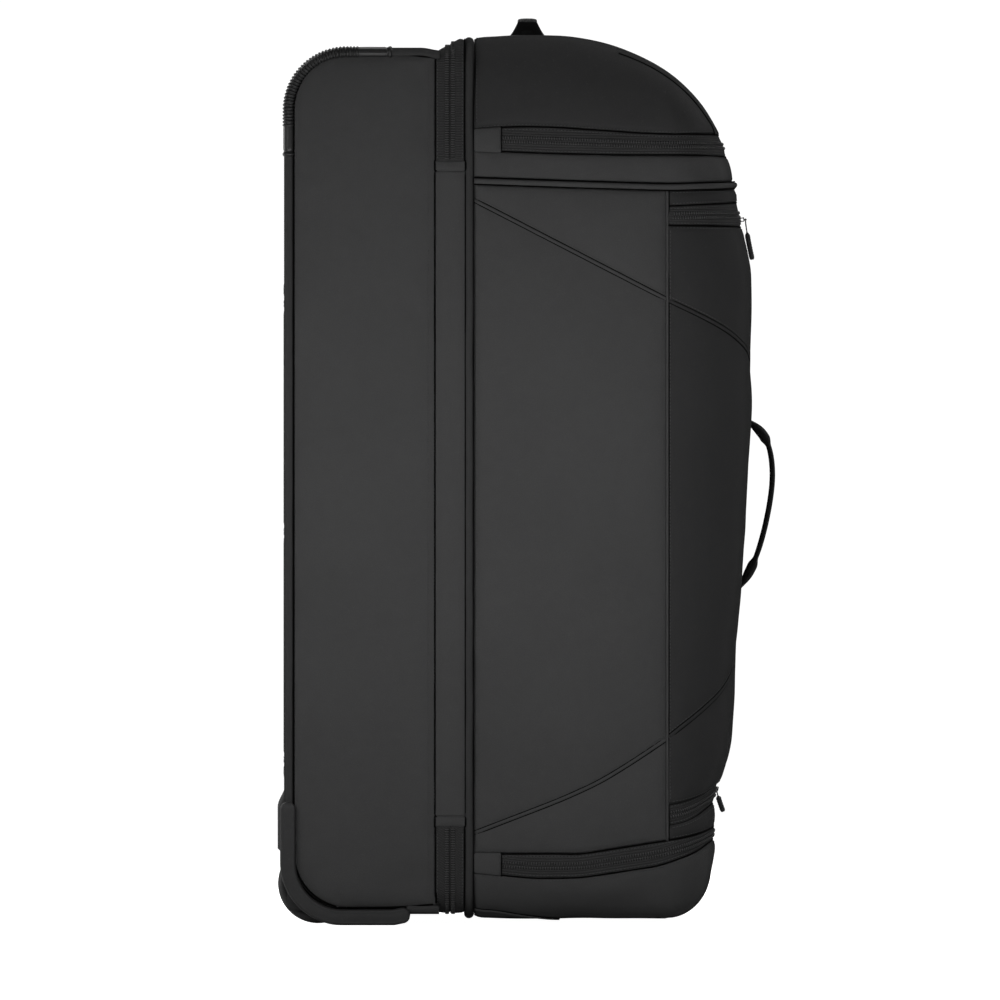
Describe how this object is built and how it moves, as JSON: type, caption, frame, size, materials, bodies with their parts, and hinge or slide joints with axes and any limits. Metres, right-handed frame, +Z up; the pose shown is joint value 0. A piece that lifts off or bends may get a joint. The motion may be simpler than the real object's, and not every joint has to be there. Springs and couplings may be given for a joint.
{
  "type": "wheeled snowboard gear duffel bag",
  "caption": "Wheeled split-level duffel for snowboard gear: rear tray with telescoping handle, zip-round soft front compartment, divider, grab handles and pocket zips.",
  "frame": {"origin": "middle of the box on the ground, under the standing bag", "axes": "+X from the wheeled back to the front pockets, +Y across to the side without the hinge, +Z up to the top grab handle"},
  "size_m": [0.4566, 0.4, 0.8354],
  "materials": {
    "panel_fabric": "matte",
    "cap_fabric": "matte",
    "front_fabric": "matte",
    "zip_tape": "matte",
    "piping": "satin",
    "webbing": "matte",
    "guard_plastic": "satin",
    "bumper_plastic": "satin",
    "board_plastic": "matte",
    "grip_plastic": "satin",
    "wheel_plastic": "satin",
    "tyre": "matte",
    "tube_metal": "satin",
    "steel": "satin",
    "zip_metal": "satin",
    "pull_rubber": "matte",
    "lining": "matte"
  },
  "bodies": {
    "tray": {"tray_side_left": "panel_fabric", "tray_side_right": "panel_fabric", "tray_wrap": "panel_fabric", "tray_piping_left": "piping", "tray_piping_right": "piping", "corner_guard_left": "guard_plastic", "corner_guard_right": "guard_plastic", "wheel_housing_left": "bumper_plastic", "wheel_housing_right": "bumper_plastic", "axles": "steel", "back_board": "board_plastic", "skid_rails": "board_plastic", "handle_cup": "grip_plastic", "handle_sleeves": "tube_metal", "sleeve_foot": "board_plastic", "tube_shroud": "lining", "screws": "steel", "tray_zip_tape": "zip_tape", "hinge_panel_tray": "panel_fabric"},
    "front": {"front_side_left": "panel_fabric", "front_side_right": "panel_fabric", "front_panel": "front_fabric", "top_cap": "cap_fabric", "yoke_strip": "panel_fabric", "bottom_cap": "panel_fabric", "top_zip_tape": "zip_tape", "bottom_zip_tape": "zip_tape", "upper_pocket_zip_tape": "zip_tape", "lower_pocket_zip_tape": "zip_tape", "mouth_piping": "piping", "yoke_piping": "piping", "front_zip_tape": "zip_tape", "hinge_panel_front": "panel_fabric", "handle_anchors": "webbing"},
    "divider": {"divider_panel": "lining", "divider_binding": "webbing"},
    "wheel_left": {"wheel_hub_left": "wheel_plastic", "wheel_tyre_left": "tyre", "wheel_bearings_left": "steel"},
    "wheel_right": {"wheel_hub_right": "wheel_plastic", "wheel_tyre_right": "tyre", "wheel_bearings_right": "steel"},
    "handle_middle": {"middle_tubes": "tube_metal"},
    "handle_inner": {"inner_tubes": "tube_metal", "grip": "grip_plastic"},
    "grip_button": {"grip_button": "grip_plastic"},
    "top_handle": {"top_handle": "webbing"},
    "front_handle": {"front_handle": "webbing"},
    "main_slider_upper": {"main_slider_upper": "zip_metal"},
    "main_slider_lower": {"main_slider_lower": "zip_metal"},
    "top_slider": {"top_slider": "zip_metal"},
    "bottom_slider": {"bottom_slider": "zip_metal"},
    "upper_pocket_slider": {"upper_pocket_slider": "zip_metal"},
    "lower_pocket_slider": {"lower_pocket_slider": "zip_metal"},
    "main_pull_upper": {"main_pull_upper": "pull_rubber"},
    "main_pull_lower": {"main_pull_lower": "pull_rubber"},
    "top_pull": {"top_pull": "pull_rubber"},
    "bottom_pull": {"bottom_pull": "pull_rubber"},
    "upper_pocket_pull": {"upper_pocket_pull": "pull_rubber"},
    "lower_pocket_pull": {"lower_pocket_pull": "pull_rubber"}
  },
  "joints": [
    {"name": "clamshell", "type": "hinge", "parent": "tray", "child": "front", "pos_m": [-0.07, -0.195, 0.395], "axis": [0, 0, -1], "range_deg": [0, 170]},
    {"name": "divider_hinge", "type": "hinge", "parent": "tray", "child": "divider", "pos_m": [-0.07615, -0.183, 0.395], "axis": [0, 0, -1], "range_deg": [0, 85]},
    {"name": "wheel_left_spin", "type": "hinge", "parent": "tray", "child": "wheel_left", "pos_m": [-0.1909, -0.165, 0.038], "axis": [0, 1, 0], "continuous": true},
    {"name": "wheel_right_spin", "type": "hinge", "parent": "tray", "child": "wheel_right", "pos_m": [-0.1909, 0.165, 0.038], "axis": [0, 1, 0], "continuous": true},
    {"name": "handle_lower_stage", "type": "slide", "parent": "tray", "child": "handle_middle", "axis": [0, 0, 1], "range_m": [0, 0.2]},
    {"name": "handle_upper_stage", "type": "slide", "parent": "handle_middle", "child": "handle_inner", "axis": [0, 0, 1], "range_m": [0, 0.18]},
    {"name": "button_press", "type": "slide", "parent": "handle_inner", "child": "grip_button", "axis": [0, 0, -1], "range_m": [0, 0.004], "stiffness_N_per_m": 400, "springref_m": -0.002},
    {"name": "top_handle_flop", "type": "hinge", "parent": "front", "child": "top_handle", "pos_m": [0.0011, 0, 0.819], "axis": [0, 1, 0], "range_deg": [-40, 40], "stiffness_Nm_per_rad": 0.2},
    {"name": "front_handle_flop", "type": "hinge", "parent": "front", "child": "front_handle", "pos_m": [0.2075, 0, 0.3875], "axis": [0, 0, 1], "range_deg": [-40, 40], "stiffness_Nm_per_rad": 0.2},
    {"name": "main_slider_upper_slide", "type": "slide", "parent": "tray", "child": "main_slider_upper", "axis": [0, 0, 1], "range_m": [0, 0.33]},
    {"name": "main_slider_lower_slide", "type": "slide", "parent": "tray", "child": "main_slider_lower", "axis": [0, 0, -1], "range_m": [0, 0.36]},
    {"name": "top_slider_slide", "type": "slide", "parent": "front", "child": "top_slider", "axis": [1, 0, 0], "range_m": [0, 0.125]},
    {"name": "bottom_slider_slide", "type": "slide", "parent": "front", "child": "bottom_slider", "axis": [1, 0, 0], "range_m": [0, 0.09]},
    {"name": "upper_pocket_slider_slide", "type": "slide", "parent": "front", "child": "upper_pocket_slider", "axis": [0, -1, 0], "range_m": [0, 0.12]},
    {"name": "lower_pocket_slider_slide", "type": "slide", "parent": "front", "child": "lower_pocket_slider", "axis": [0, -1, 0], "range_m": [0, 0.2]},
    {"name": "main_pull_upper_swing", "type": "hinge", "parent": "main_slider_upper", "child": "main_pull_upper", "pos_m": [-0.07, 0.1961, 0.446], "axis": [1, 0, 0], "range_deg": [0, 95]},
    {"name": "main_pull_lower_swing", "type": "hinge", "parent": "main_slider_lower", "child": "main_pull_lower", "pos_m": [-0.07, 0.1961, 0.42], "axis": [1, 0, 0], "range_deg": [0, 95]},
    {"name": "top_pull_swing", "type": "hinge", "parent": "top_slider", "child": "top_pull", "pos_m": [-0.0039, 0.1941, 0.716], "axis": [1, 0, 0], "range_deg": [0, 95]},
    {"name": "bottom_pull_swing", "type": "hinge", "parent": "bottom_slider", "child": "bottom_pull", "pos_m": [-0.0039, 0.1941, 0.056], "axis": [1, 0, 0], "range_deg": [0, 95]},
    {"name": "upper_pocket_pull_swing", "type": "hinge", "parent": "upper_pocket_slider", "child": "upper_pocket_pull", "pos_m": [0.20162, 0.06, 0.65049], "axis": [0, -1, 0], "range_deg": [0, 95]},
    {"name": "lower_pocket_pull_swing", "type": "hinge", "parent": "lower_pocket_slider", "child": "lower_pocket_pull", "pos_m": [0.17828, 0.1, 0.11903], "axis": [0, -1, 0], "range_deg": [0, 95]}
  ],
  "couplings": [
    {"joint": "divider_hinge", "follows": "clamshell", "ratio": 0.5}
  ]
}
